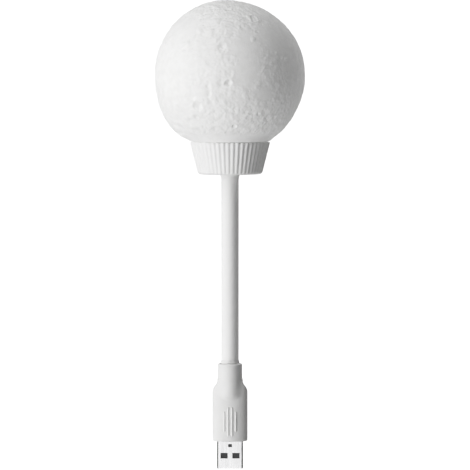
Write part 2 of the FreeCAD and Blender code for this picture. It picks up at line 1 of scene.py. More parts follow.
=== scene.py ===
"""Moon lamp on a bendable neck: its looks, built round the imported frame.

Sizes inside the classes are in millimetres and become metres as a mesh is made. The front is
-Y, the neck rises along +Z, and the origin is the middle of the grip's flat lower face.
"""
import logging
import math
from dataclasses import dataclass, field
from enum import Enum
from typing import Any, Iterable, Iterator

import bpy
import numpy as np
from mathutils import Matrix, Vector, noise


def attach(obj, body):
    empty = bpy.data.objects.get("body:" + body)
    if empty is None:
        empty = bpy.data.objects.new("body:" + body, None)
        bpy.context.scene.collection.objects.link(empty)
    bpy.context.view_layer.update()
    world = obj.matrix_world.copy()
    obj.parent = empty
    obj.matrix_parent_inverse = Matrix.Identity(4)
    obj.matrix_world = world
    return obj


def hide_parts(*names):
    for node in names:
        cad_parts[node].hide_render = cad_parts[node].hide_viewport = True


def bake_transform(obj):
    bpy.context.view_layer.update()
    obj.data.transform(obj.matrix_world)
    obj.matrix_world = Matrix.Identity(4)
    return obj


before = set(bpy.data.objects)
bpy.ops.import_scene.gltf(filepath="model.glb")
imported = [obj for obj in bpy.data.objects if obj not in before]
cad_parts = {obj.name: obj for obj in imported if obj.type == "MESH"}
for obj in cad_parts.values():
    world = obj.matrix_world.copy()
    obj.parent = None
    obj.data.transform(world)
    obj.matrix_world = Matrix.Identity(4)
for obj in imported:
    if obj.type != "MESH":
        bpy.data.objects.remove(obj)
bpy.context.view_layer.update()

LOG = logging.getLogger("moon_lamp")
METRES = 0.001
WHITE = (1.0, 1.0, 1.0, 1.0)
# The part of a noise's range that becomes mottling, and the part that becomes grain.
PATCH_RANGE = {"From Min": 0.35, "From Max": 0.65}
GRAIN_RANGE = {"From Min": 0.3, "From Max": 0.7}

Array = np.ndarray
Piece = bpy.types.Object
Direction = tuple[float, float, float]
Pairs = tuple[tuple[float, float], ...]
Table = tuple[tuple[Any, ...], ...]


# ---- Colours and shader nodes ----


def srgb(code: str) -> tuple[float, float, float, float]:
    """Turn an sRGB hex colour into the linear values that a shader takes.

    Args:
        code: Six hex digits, such as "f2f1ee".

    Returns:
        Linear red, green and blue, and an alpha of 1.
    """
    parts = [int(code[i : i + 2], 16) / 255 for i in (0, 2, 4)]
    linear = [p / 12.92 if p <= 0.04045 else ((p + 0.055) / 1.055) ** 2.4 for p in parts]
    return (*linear, 1.0)


def add_node(
    tree: bpy.types.NodeTree,
    kind: str,
    settings: dict[str | int, Any] | None = None,
    links: dict[str | int, bpy.types.NodeSocket] | None = None,
) -> bpy.types.Node:
    """Add one shader node, set it up and join it to the nodes before it.

    Args:
        tree: The node tree of a material or world.
        kind: Blender's type name of the node.
        settings: Values by input socket (name or number), or by attribute of the node.
        links: The output that feeds each input socket (name or number).

    Returns:
        The new node.
    """
    node = tree.nodes.new(kind)
    for key, value in (settings or {}).items():
        if isinstance(key, int) or key in node.inputs:
            node.inputs[key].default_value = value
        else:
            setattr(node, key, value)
    for key, source in (links or {}).items():
        tree.links.new(source, node.inputs[key])
    return node


class Making(Enum):
    """How a surface was made; the numbers stretch its grain along X, Y and Z."""

    MOULDED = (1.0, 1.0, 1.0)
    EXTRUDED = (1.0, 1.0, 0.12)
    BRUSHED = (1.0, 1.0, 0.03)
    TURNED = (0.08, 0.08, 1.0)


@dataclass(frozen=True)
class Finish:
    """A real material with the marks that its making leaves.

    Its mottling has patches and its surface a grain of these sizes, and the grain this depth,
    all in mm, as the subsurface depth is. The spread is that of its roughness. The painted glow is
    an even emission: painted light that lifts a surface's shaded side.
    """

    name: str
    slot: str
    colour: str
    mottle: str
    roughness: float
    making: Making = Making.MOULDED
    metallic: float = 0.0
    ior: float = 1.5
    patch: float = 6.0
    grain: float = 0.5
    depth: float = 0.02
    spread: float = 0.05
    subsurface: float = 0.0
    subsurface_depth: float = 1.0
    # Painted light: an even emission that brightens the shaded side, though the lamp is off.
    painted_glow: float = 0.0

    def material(self) -> bpy.types.Material:
        """Make the material, or find it if another piece already wears it.

        Returns:
            The finished material.
        """
        found = bpy.data.materials.get(self.name)
        if found:
            return found
        made = bpy.data.materials.new(self.name)
        made.use_nodes = True
        tree = made.node_tree
        tree.nodes.clear()
        where = add_node(tree, "ShaderNodeTexCoord").outputs["Object"]
        place = add_node(
            tree, "ShaderNodeMapping", {"Scale": self.making.value}, {"Vector": where}
        ).outputs["Vector"]
        mottling, texture = (
            add_node(
                tree, "ShaderNodeTexNoise",
                {"Scale": 1 / (size * METRES), "Detail": detail, "Roughness": rough},
                {"Vector": place},
            ).outputs["Fac"]
            for size, detail, rough in ((self.patch, 3.0, 0.55), (self.grain, 2.0, 0.6))
        )
        share = add_node(tree, "ShaderNodeMapRange", PATCH_RANGE, {"Value": mottling})
        colour = add_node(
            tree, "ShaderNodeMix",
            {"data_type": "RGBA", 6: srgb(self.colour), 7: srgb(self.mottle)},
            {0: share.outputs["Result"]},
        )
        low, high = (self.roughness + side * self.spread for side in (-1, 1))
        rough = add_node(
            tree, "ShaderNodeMapRange", {**GRAIN_RANGE, "To Min": low, "To Max": high},
            {"Value": texture},
        )
        relief = add_node(
            tree, "ShaderNodeBump", {"Strength": 1.0, "Distance": self.depth * METRES},
            {"Height": texture},
        )
        # The emission is painted light: an even glow that lifts the shaded side.
        shader = add_node(
            tree, "ShaderNodeBsdfPrincipled",
            {
                "Metallic": self.metallic, "IOR": self.ior,
                "Subsurface Weight": self.subsurface,
                "Subsurface Scale": self.subsurface_depth * METRES,
                "Subsurface Radius": WHITE[:3],
                "Emission Color": WHITE, "Emission Strength": self.painted_glow,
            },
            {
                "Base Color": colour.outputs[2],
                "Roughness": rough.outputs["Result"],
                "Normal": relief.outputs["Normal"],
            },
        )
        add_node(tree, "ShaderNodeOutputMaterial", links={"Surface": shader.outputs["BSDF"]})
        return made


# PVC grip moulded in a lightly sparked tool: soft white, with a satin sheen and no mirror spots.
GRIP_PVC = Finish(
    "soft_pvc_moulded_white", "grip_white", "eaeae9", "e5e5e4", 0.5, patch=5.0, grain=0.45,
    depth=0.012, ior=1.53, spread=0.06,
)
# Silicone sleeve, extruded: smooth, with very long faint draw marks along the neck, and cloudy
# enough for light to creep round to its dark side. Its weak glow is painted light that lifts that
# shaded side further.
SLEEVE_SILICONE = Finish(
    "silicone_extruded_white_painted_glow", "sleeve_white", "f4f4f3", "f1f1f0", 0.46, making=Making.EXTRUDED,
    patch=4.0, grain=0.6, depth=0.008, ior=1.43, subsurface=0.35, subsurface_depth=1.2, painted_glow=0.03,
)
# ABS collar from a polished tool that has dulled: clean white ribs with a slightly tighter sheen.
COLLAR_ABS = Finish(
    "abs_moulded_white", "collar_white", "f4f4f3", "f1f1f1", 0.42, patch=4.0, grain=0.5,
    depth=0.008, ior=1.54,
)
# Translucent globe plastic, moulded matte: light soaks in, so shadows on it stay soft. On top of
# that its glow is painted light, an even emission that lifts the shaded side in place of light
# carried through the shell.
GLOBE_PLASTIC = Finish(
    "translucent_pe_moulded_matte_painted_glow", "moon_white", "efefee", "e6e6e5", 0.62, patch=3.4, grain=0.9,
    depth=0.03, ior=1.51, subsurface=0.3, subsurface_depth=0.8, painted_glow=0.1,
)
# Nickel-plated steel sheet, brushed along the plug: bright, with fine lines that blur the light.
SHELL_NICKEL = Finish(
    "nickel_plated_steel_brushed", "shell_steel", "dcdcdd", "cfcfd0", 0.21, making=Making.BRUSHED,
    metallic=1.0, patch=1.5, grain=0.25, depth=0.003, spread=0.06,
)
# Gold flash over a stamped contact: warm metal with a light brushed drag.
CONTACT_GOLD = Finish(
    "gold_plated_bronze_stamped", "contact_gold", "e0b45c", "cf9f45", 0.28, making=Making.BRUSHED,
    metallic=1.0, patch=1.0, grain=0.2, depth=0.002,
)
# Glass-filled nylon of the tongue: dull, dark grey and faintly speckled by its fibres.
INSULATOR_NYLON = Finish(
    "nylon_moulded_grey", "insulator_grey", "454546", "3a3a3b", 0.6, patch=0.8, grain=0.3,
    depth=0.01,
)
# Zinc-plated steel, turned: bluish grey with fine rings round the axis.
TURNED_ZINC = Finish(
    "zinc_plated_steel_turned", "nut_steel", "b9bbbf", "a5a7ab", 0.36, making=Making.TURNED,
    metallic=1.0, patch=1.2, grain=0.2, depth=0.006,
)
# Coiled steel strip of the gooseneck: grey, slightly oily metal, dull in the grooves.
HOSE_STEEL = Finish(
    "carbon_steel_coiled", "core_steel", "8c8d8f", "77787a", 0.4, making=Making.TURNED,
    metallic=1.0, patch=1.5, grain=0.3, depth=0.006,
)
# Painted end bushing: white powder coat with the slight orange peel of sprayed paint.
BUSHING_PAINT = Finish(
    "steel_powder_coated_white", "bushing_white", "f2f2f1", "eeeeed", 0.45, patch=3.0, grain=0.7,
    depth=0.012,
)
# Cable sheath and lead insulation, extruded PVC: even colour and a soft waxy gloss.
CABLE_PVC = Finish(
    "pvc_extruded_grey", "cable_grey", "9c9c9b", "939392", 0.48, making=Making.EXTRUDED, patch=3.0,
    grain=0.4, depth=0.006,
)
LEAD_RED, LEAD_BLACK = (
    Finish(
        f"pvc_extruded_{word}", f"lead_{word}", colour, mottle, 0.42, making=Making.EXTRUDED,
        patch=2.0, grain=0.3, depth=0.004,
    )
    for word, colour, mottle in (("red", "b3221d", "a51d19"), ("black", "2b2b2c", "232324"))
)
# Glass-fibre board under white solder mask: the weave shows as a faint square ripple.
BOARD_MASK = Finish(
    "glass_fibre_board_masked", "board_white", "eeeeea", "e4e4df", 0.3, patch=1.0, grain=0.35,
    depth=0.008,
)
# Light chips: yellow phosphor in clear silicone, grainy and slightly glossy.
CHIP_PHOSPHOR = Finish(
    "phosphor_silicone_cast", "chip_yellow", "efd060", "e2bd46", 0.25, patch=0.4, grain=0.15,
    depth=0.01,
)
# Chip resistors: alumina under a black glaze, glossy with hardly any grain.
RESISTOR_GLAZE = Finish(
    "alumina_glazed_black", "resistor_black", "2e2e30", "1f1f20", 0.22, patch=0.5, grain=0.2,
    depth=0.004,
)


# ---- Mesh code ----


def smooth_step(low: float, high: float, value: Array) -> Array:
    """Rise smoothly from 0 at low to 1 at high.

    Args:
        low: Where the rise starts.
        high: Where it ends.
        value: The numbers to look up.

    Returns:
        A share from 0 to 1 for each number.
    """
    share = np.clip((value - low) / (high - low), 0.0, 1.0)
    return share * share * (3 - 2 * share)


def soft_join(first: Array, second: Array, width: float) -> Array:
    """Take the larger of two radii, with a rounded valley where they meet.

    Args:
        first: One radius.
        second: The other radius.
        width: How far the rounding reaches, in mm; below 0 it takes the smaller radius.

    Returns:
        The joined radius.
    """
    side = math.copysign(1.0, width)
    gap = np.abs(first - second)
    rounding = np.maximum(abs(width) - gap, 0.0) ** 2 / (4 * abs(width))
    return (first + second + side * gap) / 2 + side * rounding


def turned_rings(radii: Array, heights: Array, columns: int) -> Array:
    """Place rings of points round the Z axis.

    Args:
        radii: One radius a ring, or one for each ring and column.
        heights: The same for heights.
        columns: Points in a ring.

    Returns:
        Points in mm, by ring and column.
    """
    angles = np.arange(columns) * 2 * math.pi / columns
    shape = (len(radii), columns)
    radii, heights = (
        np.broadcast_to(np.asarray(rows, float).reshape(shape[0], -1), shape)
        for rows in (radii, heights)
    )
    return np.stack([radii * np.cos(angles), radii * np.sin(angles), heights], axis=-1)


def mesh_piece(
    name: str,
    rings: Array,
    closed: bool = False,
    sharp_degrees: float = 40.0,
    left_out: Array | None = None,
) -> Piece:
    """Skin rings of points with faces.

    Args:
        name: The piece's name.
        rings: Points in mm, by ring and column; each ring closes on itself.
        closed: Join the last ring to the first. Otherwise both ends get a fan of faces.
        sharp_degrees: Edges that bend more than this stay crisp.
        left_out: True for each face that is left out; then the ends stay open too.

    Returns:
        The new object.
    """
    count, columns = rings.shape[:2]
    points = rings.reshape(-1, 3)
    index = np.arange(count * columns).reshape(count, columns)
    following = np.roll(index, -1, axis=1)
    upper, upper_following = np.roll(index, -1, axis=0), np.roll(following, -1, axis=0)
    quads = np.stack([index, following, upper_following, upper], axis=-1)
    quads = quads[: count if closed else count - 1]
    faces = quads.reshape(-1, 4).tolist() if left_out is None else quads[~left_out].tolist()
    if not closed and left_out is None:
        points = np.vstack([points, rings[0].mean(axis=0), rings[-1].mean(axis=0)])
        low, high = count * columns, count * columns + 1
        faces += [[low, b, a] for a, b in zip(index[0].tolist(), following[0].tolist())]
        faces += [[high, a, b] for a, b in zip(index[-1].tolist(), following[-1].tolist())]
    mesh = bpy.data.meshes.new(name)
    mesh.from_pydata((points * METRES).tolist(), [], faces)
    mesh.update()
    mesh.shade_smooth()
    mesh.set_sharp_from_angle(angle=math.radians(sharp_degrees))
    piece = bpy.data.objects.new(name, mesh)
    bpy.context.scene.collection.objects.link(piece)
    return piece


@dataclass
class SubAssembly:
    """A group of pieces that are built, dressed and reported together."""

    pieces: dict[str, tuple[Piece, Finish]] = field(default_factory=dict, init=False)

    def keep(self, piece: Piece, finish: Finish) -> None:
        """Note a piece and the finish that it gets.

        Args:
            piece: The piece.
            finish: Its finish.
        """
        self.pieces[piece.name] = (piece, finish)

    def build(self) -> None:
        """Make the meshes and hang them on their bodies."""

    def dress(self) -> None:
        """Give each piece its material, and report it."""
        for name, (piece, finish) in self.pieces.items():
            if piece.material_slots:
                for place in piece.material_slots:
                    place.material = finish.material()
            else:
                piece.data.materials.append(finish.material())
            LOG.info("%s: %s, %d faces", name, finish.name, len(piece.data.polygons))


# ---- Moon globe ----


def on_front(across: float, up: float) -> Direction:
    """Direction from the globe's centre to a spot on its front.

    Args:
        across: Place to the right of the middle, as a share of the radius.
        up: Place above the middle, as a share of the radius.

    Returns:
        A unit vector.
    """
    return (across, -math.sqrt(1 - across**2 - up**2), up)


@dataclass(frozen=True)
class Spot:
    """A round place on the globe, by the direction from the globe's centre."""

    towards: Direction
    radius: float

    def closeness(self, directions: Array) -> Array:
        """Tell how near each direction is to the spot's middle.

        Args:
            directions: Unit vectors from the globe's centre.

        Returns:
            The cosine of the angle between the two.
        """
        return directions @ (np.array(self.towards) / np.linalg.norm(self.towards))


class Plain(Spot):
    """A stretch of smooth low ground between the rough highlands."""


@dataclass(frozen=True)
class Swell(Spot):
    """A wide, low swelling of the globe, or a flat where its rise is below 0."""

    rise: float


@dataclass(frozen=True)
class Crater(Spot):
    """A dent with a raised rim, or a mound where its depth is below 0."""

    depth: float
    rim: float

    def height(self, reach: Array) -> Array:
        """Height that the crater adds.

        Args:
            reach: Distance from its middle, as a share of its radius.

        Returns:
            Height in mm, below 0 inside a crater.
        """
        bowl_power, rim_place, rim_width = 1.2, 1.08, 0.3
        bowl = -self.depth * np.clip(1 - reach**2, 0.0, 1.0) ** bowl_power
        return bowl + self.rim * np.exp(-(((reach - rim_place) / rim_width) ** 2))


@dataclass
class MoonGlobe(SubAssembly):
    """Hollow globe with low craters, a narrow foot and a neck that goes into the collar."""

    radius: float = 34.1
    wall: float = 1.4
    centre_height: float = 166.82
    rim_height: float = 136.8
    foot_height: float = 0.42
    foot_start_radius: float = 20.93
    foot_radius: float = 18.35
    foot_fade: float = 0.07
    cone_shares: tuple[float, ...] = (0.2, 0.4, 0.6, 0.8, 0.94, 1.0)
    cone_hollow: float = 0.92
    lip: float = 0.12
    lip_drop: float = 0.05
    rim_gap_depth: float = 1.1
    collar_rim_drop: float = 0.05
    neck_length: float = 4.6
    neck_radius: float = 15.284
    neck_chamfer: float = 0.3
    mouth_radius: float = 13.884
    pole_angle: float = 0.012
    columns: int = 640
    outer_rings: int = 300
    inner_rings: int = 60
    # Scale, shift, fall-off, lacunarity and octaves of the broad, the fine and the fraying noise.
    noises: Table = (
        (2.0, (0, 0, 0), 1.0, 2.0, 3), (13.0, (0, 0, 0), 0.85, 2.1, 3),
        (13.0, (7, 3, 5), 0.8, 2.0, 3),
    )
    broad_height: float = 0.08
    highland_rise: float = 0.06
    roughness: float = 0.2
    plain_roughness: float = 0.08
    plain_edge: tuple[float, float] = (0.7, 1.15)
    plain_fray: float = 0.35
    crater_fray: float = 0.3
    crater_limit: float = 2.4
    mean_sink: float = 0.1
    deepest: float = 1.05
    highest: float = 0.2
    boldness: float = 1.05
    fade_to_right: float = 1.2
    gain_upwards: float = 0.3
    least_bold: float = 0.8
    most_bold: float = 1.4
    seed: int = 41
    # How many scattered craters there are of each size, from the smallest to the largest radius.
    crater_sizes: Table = ((40, 1.7, 3.2), (260, 0.9, 1.6), (1700, 0.5, 0.95))
    steepness: tuple[float, float] = (-0.06, 0.15)
    rim_share: float = 0.22
    plains: tuple[Plain, ...] = (
        Plain(on_front(0.22, 0.38), 8.5), Plain(on_front(0.22, 0.06), 7.0),
        Plain(on_front(0.60, 0.50), 9.5), Plain(on_front(0.45, -0.25), 4.0),
        Plain(on_front(-0.78, 0.08), 13.0), Plain(on_front(-0.60, 0.62), 9.0),
        Plain((0.3, 0.9, 0.3), 13.0), Plain((-0.7, 0.6, -0.2), 10.0), Plain((0.9, 0.3, -0.5), 8.0),
    )
    swells: tuple[Swell, ...] = (
        Swell((-0.72, 0.0, -0.69), 26.0, 1.5), Swell((0.66, 0.0, -0.75), 16.0, 0.45),
        Swell((-0.60, 0.0, 0.80), 30.0, 0.55), Swell((0.50, 0.0, 0.87), 26.0, -0.4),
    )
    # Single craters and mounds on the front: across, up, radius, depth and rim.
    large_craters: Table = (
        (-0.02, -0.09, 1.7, 0.62, 0.05), (-0.42, -0.40, 2.5, 0.85, 0.10),
        (-0.37, -0.32, 1.1, -0.2, 0.0), (-0.44, -0.54, 1.5, 0.28, 0.05),
        (-0.27, -0.23, 1.5, 0.22, 0.10), (0.055, -0.66, 1.4, 0.36, 0.06),
        (0.09, -0.59, 1.1, -0.18, 0.0), (0.31, 0.75, 2.2, 0.12, 0.22),
        (-0.03, 0.87, 1.6, 0.24, 0.06), (-0.14, 0.74, 1.0, -0.12, 0.0),
        (0.30, 0.48, 1.5, -0.26, 0.0), (0.73, 0.21, 1.3, -0.30, 0.0),
        (0.54, 0.16, 1.4, -0.24, 0.0), (0.61, 0.30, 1.1, -0.20, 0.0),
        (0.66, 0.24, 1.2, 0.16, 0.04), (0.25, -0.45, 1.2, -0.16, 0.0),
        (0.33, -0.49, 1.3, -0.18, 0.0), (0.24, -0.54, 1.5, 0.20, 0.04),
        (0.20, -0.28, 1.3, -0.10, 0.06), (0.10, -0.17, 1.0, -0.14, 0.0),
        (0.48, -0.56, 1.8, 0.10, 0.06),
    )

    def _plain_share(self, directions: Array, warp: Array) -> Array:
        """How far each spot belongs to a plain.

        Args:
            directions: Unit vectors from the globe's centre.
            warp: Noise of about 1 that frays the plains' edges.

        Returns:
            A share from 0 in the highlands to 1 on a plain.
        """
        share = np.zeros(len(directions))
        for plain in self.plains:
            chord = np.sqrt(np.maximum(2 - 2 * plain.closeness(directions), 0.0))
            reach = chord * self.radius / plain.radius + self.plain_fray * warp
            share = np.maximum(share, 1 - smooth_step(*self.plain_edge, reach))
        return share

    def _scattered_craters(self) -> Iterator[Crater]:
        """Scatter craters over the highlands, many small and few large.

        Returns:
            The craters one by one, the same on each run.
        """
        chance = np.random.RandomState(self.seed)
        for number, smallest, largest in self.crater_sizes:
            towards = chance.normal(size=(number, 3))
            towards /= np.linalg.norm(towards, axis=1)[:, None]
            kept = self._plain_share(towards, np.zeros(number)) < chance.uniform(0.1, 1.0, number)
            sizes = smallest + (largest - smallest) * chance.uniform(0, 1, number) ** 2
            steepness = chance.uniform(*self.steepness, number)
            for place, size, steep, keep in zip(towards.tolist(), sizes, steepness, kept):
                if keep:
                    rim = self.rim_share * max(steep, 0.0)
                    yield Crater(tuple(place), size, size * steep, size * rim)

    def _dent(
        self, height: Array, directions: Array, warp: Array, craters: Iterable[Crater]
    ) -> None:
        """Add craters to a height map.

        Args:
            height: Height in mm for each direction, changed in place.
            directions: Unit vectors from the globe's centre.
            warp: Noise of about 1 that makes the craters less round.
            craters: The craters.
        """
        for crater in craters:
            closeness = crater.closeness(directions)
            limit = 1 - (self.crater_limit * crater.radius / self.radius) ** 2 / 2
            near = np.flatnonzero(closeness > limit)
            chord = np.sqrt(np.maximum(2 - 2 * closeness[near], 0.0))
            reach = chord * self.radius / crater.radius
            height[near] += crater.height(reach * (1 + self.crater_fray * warp[near]))

    def relief(self, directions: Array) -> Array:
        """Height of the surface over its mean level.

        Args:
            directions: Unit vectors from the globe's centre.

        Returns:
            Height in mm for each direction.
        """
        points = [Vector(d) for d in directions.tolist()]
        broad, rough, warp = (
            np.array([noise.fractal(p * scale + Vector(shift), *kind) for p in points])
            for scale, shift, *kind in self.noises
        )
        highland = 1 - self._plain_share(directions, warp)
        share = self.plain_roughness + (1 - self.plain_roughness) * highland
        height = self.broad_height * broad + self.highland_rise * highland
        height += self.roughness * rough * share
        self._dent(height, directions, warp, self._scattered_craters())
        # The fine relief is boldest on the left and towards the top.
        across, up = directions[:, 0], np.maximum(directions[:, 2], 0.0)
        bold = self.boldness - self.fade_to_right * across + self.gain_upwards * up
        height *= np.clip(bold, self.least_bold, self.most_bold)
        large = [Crater(on_front(x, z), *sizes) for x, z, *sizes in self.large_craters]
        self._dent(height, directions, warp, large)
        return np.clip(height - self.mean_sink, -self.deepest, self.highest)

    def swelling(self, directions: Array) -> Array:
        """How far the globe departs from a true ball in its broad form.

        Args:
            directions: Unit vectors from the globe's centre.

        Returns:
            Height in mm for each direction.
        """
        height = np.zeros(len(directions))
        for swell in self.swells:
            angle = np.arccos(np.clip(swell.closeness(directions), -1.0, 1.0))
            height += swell.rise * (1 - smooth_step(0.0, 1.0, angle * self.radius / swell.radius))
        return height

    def build(self) -> None:
        """Make the globe as one closed skin, outside, foot, neck and inside."""
        foot_angle = math.pi - math.asin(self.foot_start_radius / self.radius)
        angles = np.linspace(self.pole_angle, foot_angle, self.outer_rings)
        flat = turned_rings(np.sin(angles), np.cos(angles), self.columns)
        directions, grid = flat.reshape(-1, 3), flat.shape[:2]
        # The relief fades out at the foot, where the ball runs on as a steep smooth cone.
        fade = 1 - smooth_step(foot_angle - self.foot_fade, foot_angle, angles)[:, None]
        relief = self.relief(directions).reshape(grid) * fade
        swelling = self.swelling(directions).reshape(grid)
        outside = flat * (self.radius + relief + swelling)[..., None]
        outside[..., 2] += self.centre_height

        last = outside[-1]
        share = np.array(self.cone_shares)[:, None]
        last_radius = np.hypot(last[:, 0], last[:, 1])
        foot = self.rim_height + self.foot_height
        cone_radii = last_radius + (self.foot_radius - last_radius) * share**self.cone_hollow
        cone_heights = last[:, 2] + (foot - last[:, 2]) * share
        cone = turned_rings(cone_radii, cone_heights, self.columns)

        # Behind the foot a narrow dark gap separates the globe from the collar's rim.
        seat = self.rim_height - self.collar_rim_drop
        neck_foot = self.rim_height - self.neck_length
        gap_radius = self.foot_radius - self.rim_gap_depth
        under = [
            (self.foot_radius - self.lip, foot - self.lip_drop), (gap_radius, foot - self.lip_drop),
            (gap_radius, seat), (self.neck_radius, seat),
            (self.neck_radius, neck_foot + self.neck_chamfer),
            (self.neck_radius - self.neck_chamfer, neck_foot), (self.mouth_radius, neck_foot),
        ]
        inner_radius = self.radius - self.wall
        mouth_angle = math.pi - math.asin(self.mouth_radius / inner_radius)
        inside = [
            (inner_radius * math.sin(a), self.centre_height + inner_radius * math.cos(a))
            for a in np.linspace(mouth_angle, self.pole_angle, self.inner_rings)
        ]
        rest = turned_rings(*np.array(under + inside).T, self.columns)
        globe = mesh_piece("moon_globe_shell", np.concatenate([outside, cone, rest])[:, ::-1])
        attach(globe, "head")
        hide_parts("moon_globe")
        self.keep(globe, GLOBE_PLASTIC)


# ---- Collar ----


@dataclass
class RibbedCollar(SubAssembly):
    """Tapered collar with upright ribs, two posts for the board, and the flared end bushing."""

    base: float = 122.0
    height: float = 14.8
    top_radius: float = 18.35
    foot_radius: float = 14.6
    foot_rounding: float = 1.25
    wall: float = 1.55
    floor: float = 2.4
    hole_radius: float = 4.05
    bore_clearance: float = 0.25
    rib_count: int = 50
    rib_depth_foot: float = 0.19
    rib_depth_rim: float = 0.34
    rib_narrowness: float = 1.05
    rim_drop: float = 0.05
    rib_phase_degrees: float = 90.5
    samples_per_rib: int = 12
    side_rings: int = 26
    # How far each ring of the rounded rim lies under the top, and how far it draws in.
    rim_rounding: Pairs = ((0.5, 0.02), (0.33, 0.09), (0.18, 0.2), (0.07, 0.36), (0.0, 0.6))
    post_radius: float = 2.2
    post_spacing: float = 18.0
    post_top: float = 133.7
    # How much wider than the post each ring of its foot is, and its height over the foot.
    post_flare: Pairs = ((0.5, 0.0), (0.5, 0.35), (0.12, 0.65), (0.0, 1.1))
    post_chamfer: float = 0.2
    # The bushing's radius and height: the flare, the flange, the outside and the bore.
    bushing_profile: Pairs = (
        (4.03, 119.75), (4.08, 120.0), (4.17, 120.6), (4.27, 121.15), (4.36, 121.35),
        (4.4, 121.6), (4.4, 121.95), (4.04, 122.0), (4.04, 128.35), (3.8, 128.5),
        (3.12, 128.5), (3.12, 121.22), (4.03, 121.22),
    )

    def build(self) -> None:
        """Make the ribbed cup, its posts and the bushing."""
        columns = self.rib_count * self.samples_per_rib
        slope = (self.top_radius - self.foot_radius) / self.height
        turn = np.linspace(0.0, math.pi / 2, 9)
        round_z = self.foot_rounding * (1 - np.cos(turn))
        round_r = self.foot_radius - self.foot_rounding * (1 - np.sin(turn)) + slope * round_z
        rim = self.height - self.rim_drop
        side_z = np.linspace(self.foot_rounding + 0.3, rim - 0.75, self.side_rings)
        drop, inset = np.array(self.rim_rounding).T
        top_z = rim - drop
        outer_z = np.concatenate([round_z, side_z, top_z])
        outer_r = np.concatenate(
            [round_r, self.foot_radius + slope * side_z, self.foot_radius + slope * top_z - inset]
        )
        # The grooves deepen towards the rim, and run out where the foot turns under.
        deepening = (self.rib_depth_rim - self.rib_depth_foot) * outer_z / self.height
        depth = (self.rib_depth_foot + deepening) * smooth_step(-0.2, 1.0, outer_z)
        degrees = np.arange(columns) * 360 / columns - self.rib_phase_degrees
        grooves = (0.5 + 0.5 * np.cos(np.radians(degrees) * self.rib_count)) ** self.rib_narrowness
        outside = outer_r[:, None] - grooves[None, :] * depth[:, None]
        bore_top = self.top_radius - self.bore_clearance - self.wall
        bore_foot = bore_top - slope * (self.height - self.floor)
        inner_r, inner_z = np.array(
            [
                (bore_top, rim), (bore_foot, self.floor), (self.hole_radius, self.floor),
                (self.hole_radius, 0.0), (self.foot_radius - self.foot_rounding - 0.6, 0.0),
            ]
        ).T
        radii = np.concatenate([outside, np.repeat(inner_r[:, None], columns, axis=1)])
        heights = np.concatenate([outer_z, inner_z]) + self.base
        cup = mesh_piece(
            "collar_cup", turned_rings(radii, heights, columns), closed=True, sharp_degrees=50
        )
        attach(cup, "head")
        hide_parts("ribbed_collar")
        self.keep(cup, COLLAR_ABS)
        self._posts()
        self._bushing()

    def _posts(self) -> None:
        """Make the two round posts with their flared feet."""
        foot = self.base + self.floor - 0.3
        profile = [(self.post_radius + wider, foot + up) for wider, up in self.post_flare]
        profile += [
            (self.post_radius, self.post_top - self.post_chamfer),
            (self.post_radius - self.post_chamfer, self.post_top),
        ]
        for side, word in ((-1, "left"), (1, "right")):
            rings = turned_rings(*np.array(profile).T, 40)
            rings[..., 0] += side * self.post_spacing / 2
            post = mesh_piece(f"collar_post_{word}", rings)
            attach(post, "head")
            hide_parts("ribbed_collar")
            self.keep(post, COLLAR_ABS)

    def _bushing(self) -> None:
        """Make the bushing, whose flared foot shows under the collar round the neck."""
        rings = turned_rings(*np.array(self.bushing_profile).T, 96)
        bushing = mesh_piece("bushing_flared", rings, closed=True)
        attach(bushing, "head")
        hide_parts("head_bushing")
        self.keep(bushing, BUSHING_PAINT)


# ---- Bendable neck ----


@dataclass(frozen=True)
class NeckLayer:
    """One layer of the neck; a bore of 0 makes it solid, and a coil depth grooves it."""

    piece: str
    node: str
    finish: Finish
    foot: float
    head_end: float
    radius: float
    bore: float
    ring_step: float
    columns: int
    coil_depth: float = 0.0


